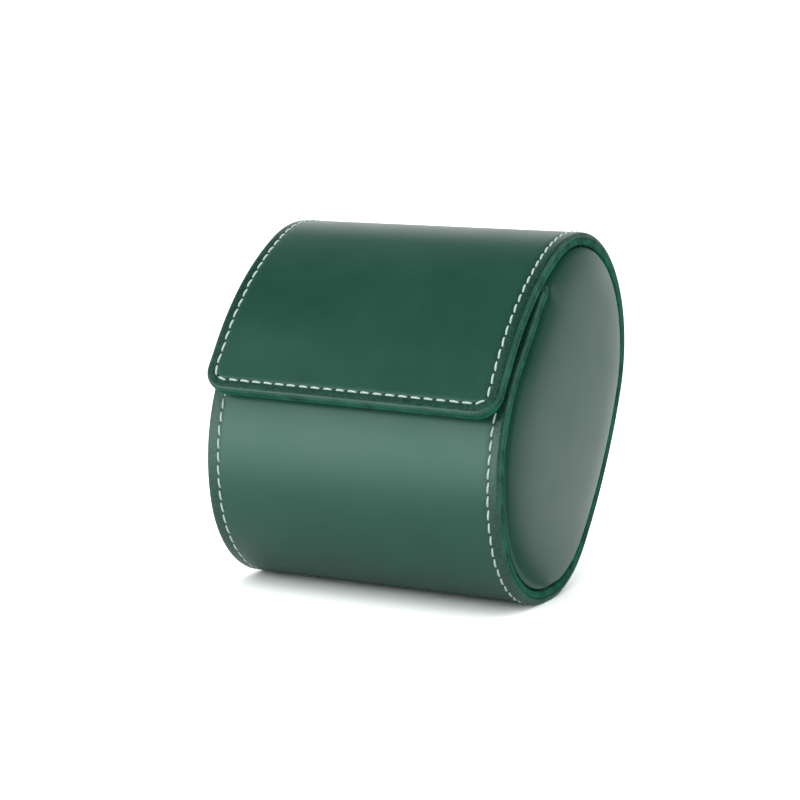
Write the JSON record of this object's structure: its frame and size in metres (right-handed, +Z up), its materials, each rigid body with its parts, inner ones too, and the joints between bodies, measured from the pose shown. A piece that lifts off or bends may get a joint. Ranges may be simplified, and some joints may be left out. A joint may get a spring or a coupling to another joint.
{
  "type": "watch roll",
  "caption": "Soft-cornered leather watch roll with padded end caps, a fold-over magnetic flap, suede lining and a lift-out watch pillow.",
  "frame": {"origin": "on the surface it stands on, under the middle of the closed roll's bounding box", "axes": "+X along the roll, +Y to the back, +Z up; the flap's free edge is at the front"},
  "size_m": [0.0812, 0.0814, 0.0904],
  "materials": {
    "leather": "satin",
    "suede": "matte",
    "board": "matte",
    "foam": "matte",
    "steel": "satin",
    "magnet": "polished"
  },
  "bodies": {
    "case": {"wrap_leather": "leather", "wrap_board": "board", "wrap_steel_disc": "steel", "wrap_lining": "suede", "right_cap_leather": "leather", "right_cap_padding": "foam", "right_cap_board": "board", "right_cap_lining": "suede", "left_cap_leather": "leather", "left_cap_padding": "foam", "left_cap_board": "board", "left_cap_lining": "suede"},
    "flap": {"flap_leather": "leather", "flap_board": "board", "flap_magnet": "magnet", "flap_lining": "suede"},
    "pillow": {"pillow_core": "foam", "pillow_cover": "suede", "pillow_right_end": "suede", "pillow_left_end": "suede"}
  },
  "joints": [
    {"name": "flap_open", "type": "hinge", "parent": "case", "child": "flap", "pos_m": [0, 0.03958, 0.06664], "axis": [-1, 0, 0], "range_deg": [0, 150]},
    {"name": "pillow_lift", "type": "slide", "parent": "case", "child": "pillow", "axis": [0, 0.342, 0.9397], "range_m": [0, 0.06]}
  ],
  "couplings": [
    {"joint": "pillow_lift", "follows": "flap_open", "m_per_rad": 0.0229}
  ]
}
